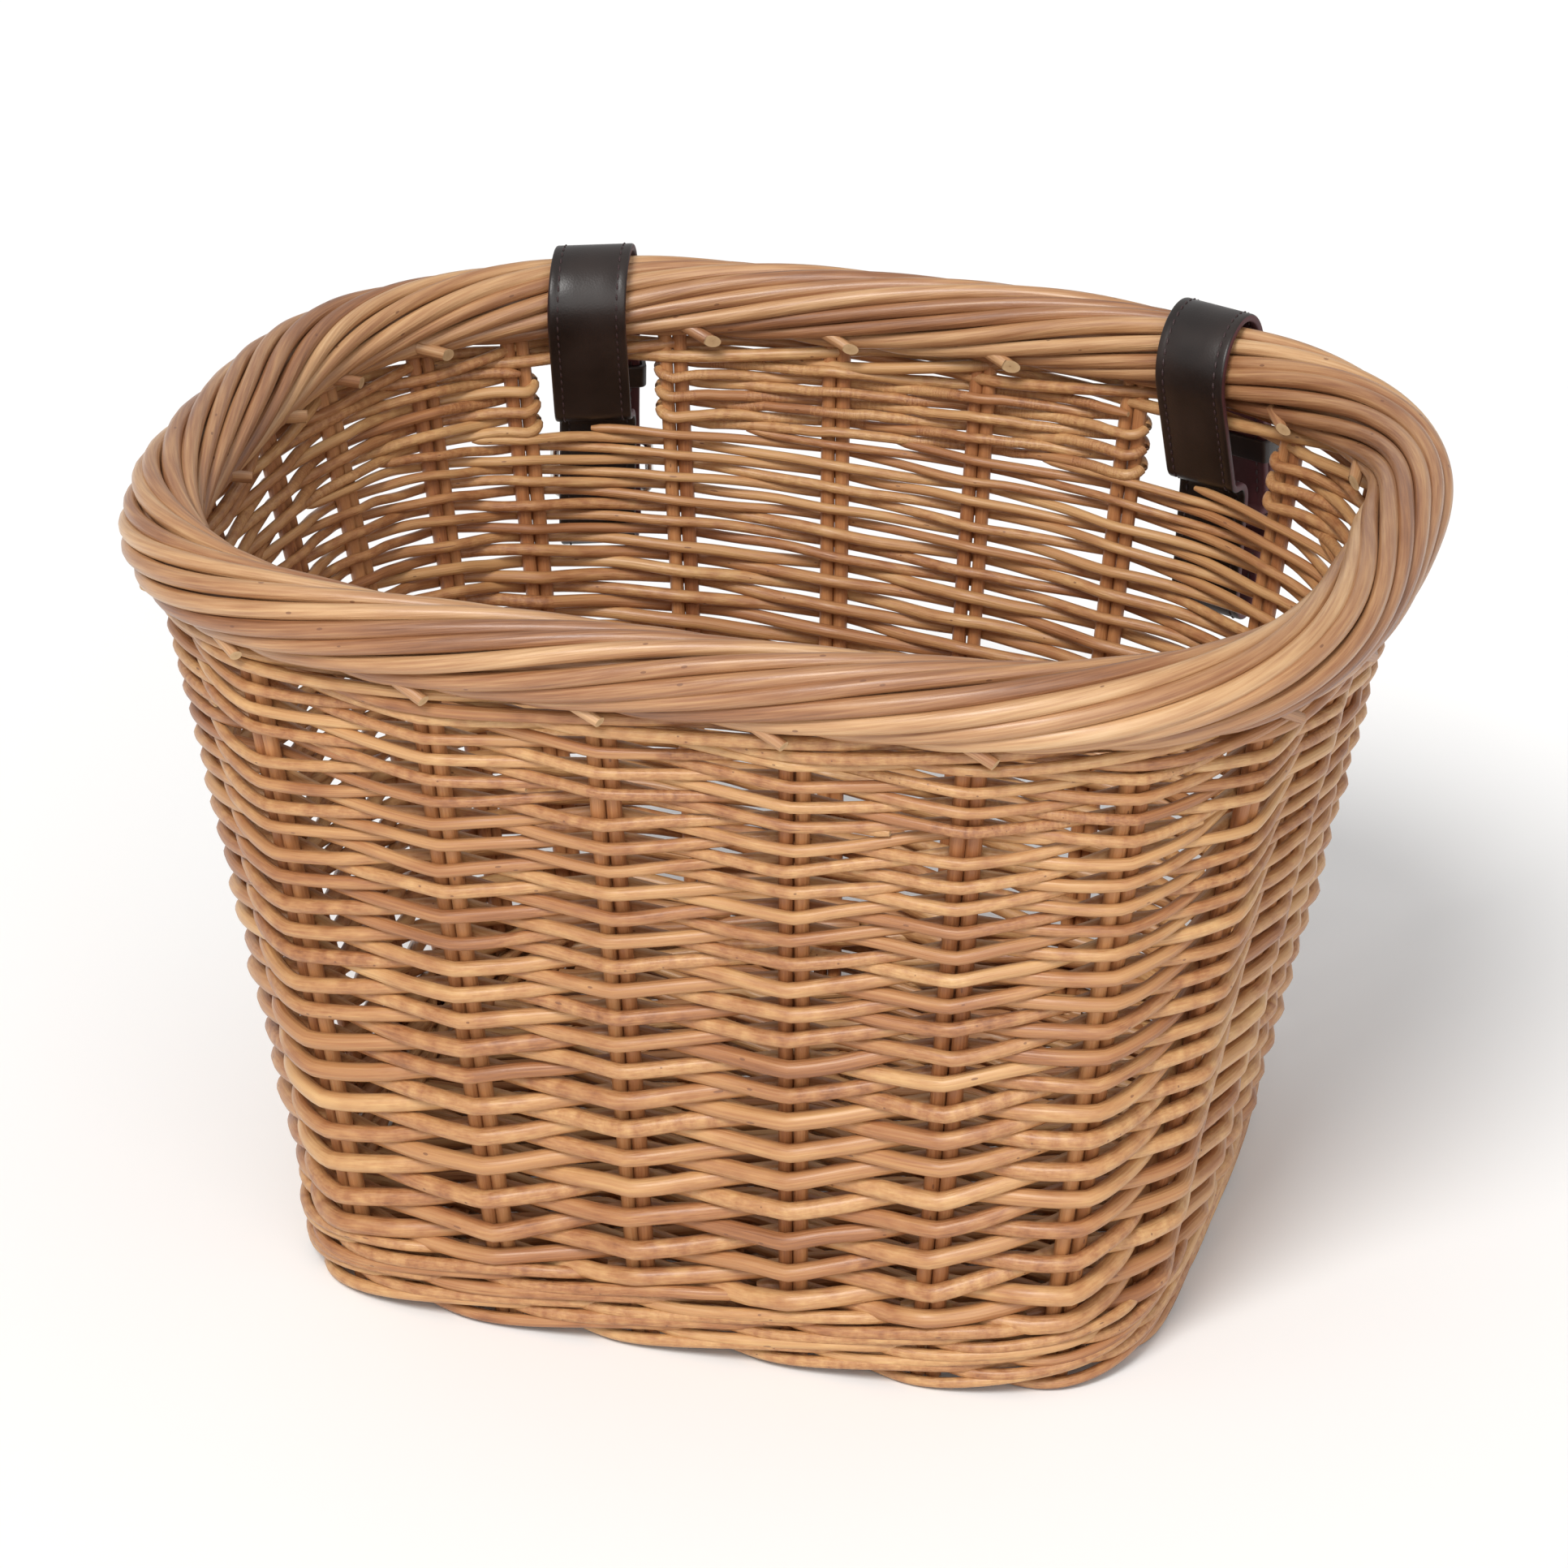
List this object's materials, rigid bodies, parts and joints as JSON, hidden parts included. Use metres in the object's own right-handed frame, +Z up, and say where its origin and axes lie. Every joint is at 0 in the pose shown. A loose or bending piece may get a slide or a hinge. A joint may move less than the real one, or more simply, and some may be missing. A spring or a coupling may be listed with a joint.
{
  "type": "bicycle handlebar basket",
  "caption": "D-shaped woven willow handlebar basket with a thick rolled border and leather buckle straps through wall slots.",
  "frame": {"origin": "on the ground under the middle of the whole object", "axes": "+Z up, -Y towards the rounded front of the basket, +Y towards the flatter back that hangs on the handlebar, X across"},
  "size_m": [0.4, 0.3403, 0.2617],
  "materials": {
    "willow": "satin varnish",
    "willow_base": "satin varnish",
    "dark_leather": "smooth, soft sheen",
    "nickel_steel": "plated"
  },
  "bodies": {
    "basket": {"base_mat": "willow_base", "base_stick_1": "willow_base", "base_stick_2": "willow_base", "base_stick_3": "willow_base", "base_stick_4": "willow_base", "base_stick_5": "willow_base", "foot_wale": "willow", "lower_siding": "willow", "upper_siding_wrap": "willow", "upper_siding_back_panel": "willow", "top_wale": "willow", "border": "willow", "stake_pair_01": "willow", "stake_pair_02": "willow", "stake_pair_03": "willow", "stake_pair_04": "willow", "stake_pair_05": "willow", "stake_pair_06": "willow", "stake_pair_07": "willow", "stake_pair_08": "willow", "stake_pair_09": "willow", "stake_pair_10": "willow", "stake_pair_11": "willow", "stake_pair_12": "willow", "stake_pair_13": "willow", "stake_pair_14": "willow", "stake_pair_15": "willow", "stake_pair_16": "willow", "stake_pair_17": "willow", "stake_pair_18": "willow", "stake_pair_19": "willow", "stake_pair_20": "willow", "stake_pair_21": "willow", "stake_pair_22": "willow"},
    "left_strap": {"left_strap": "dark_leather"},
    "left_strap_keeper": {"left_strap_keeper": "dark_leather"},
    "left_buckle_frame": {"left_buckle_frame": "nickel_steel"},
    "left_buckle_prong": {"left_buckle_prong": "nickel_steel"},
    "right_strap": {"right_strap": "dark_leather"},
    "right_strap_keeper": {"right_strap_keeper": "dark_leather"},
    "right_buckle_frame": {"right_buckle_frame": "nickel_steel"},
    "right_buckle_prong": {"right_buckle_prong": "nickel_steel"}
  },
  "joints": [
    {"name": "left_strap_shift", "type": "slide", "parent": "basket", "child": "left_strap", "axis": [0.9263, 0.3768, 0], "range_m": [-0.003, 0.003]},
    {"name": "left_keeper_slide", "type": "slide", "parent": "left_strap", "child": "left_strap_keeper", "axis": [0.044, -0.1082, 0.9932], "range_m": [-0.004, 0.004]},
    {"name": "left_buckle_frame_hinge", "type": "hinge", "parent": "left_strap", "child": "left_buckle_frame", "pos_m": [-0.11328, 0.15575, 0.182], "axis": [0.9263, 0.3768, 0], "range_deg": [0, 6]},
    {"name": "left_buckle_prong_hinge", "type": "hinge", "parent": "left_buckle_frame", "child": "left_buckle_prong", "pos_m": [-0.11328, 0.15575, 0.182], "axis": [0.9263, 0.3768, 0], "range_deg": [0, 8]},
    {"name": "right_strap_shift", "type": "slide", "parent": "basket", "child": "right_strap", "axis": [0.93, -0.3675, 0], "range_m": [-0.003, 0.003]},
    {"name": "right_keeper_slide", "type": "slide", "parent": "right_strap", "child": "right_strap_keeper", "axis": [-0.0429, -0.1087, 0.9932], "range_m": [-0.004, 0.004]},
    {"name": "right_buckle_frame_hinge", "type": "hinge", "parent": "right_strap", "child": "right_buckle_frame", "pos_m": [0.10736, 0.15804, 0.182], "axis": [0.93, -0.3675, 0], "range_deg": [0, 6]},
    {"name": "right_buckle_prong_hinge", "type": "hinge", "parent": "right_buckle_frame", "child": "right_buckle_prong", "pos_m": [0.10736, 0.15804, 0.182], "axis": [0.93, -0.3675, 0], "range_deg": [0, 8]}
  ]
}
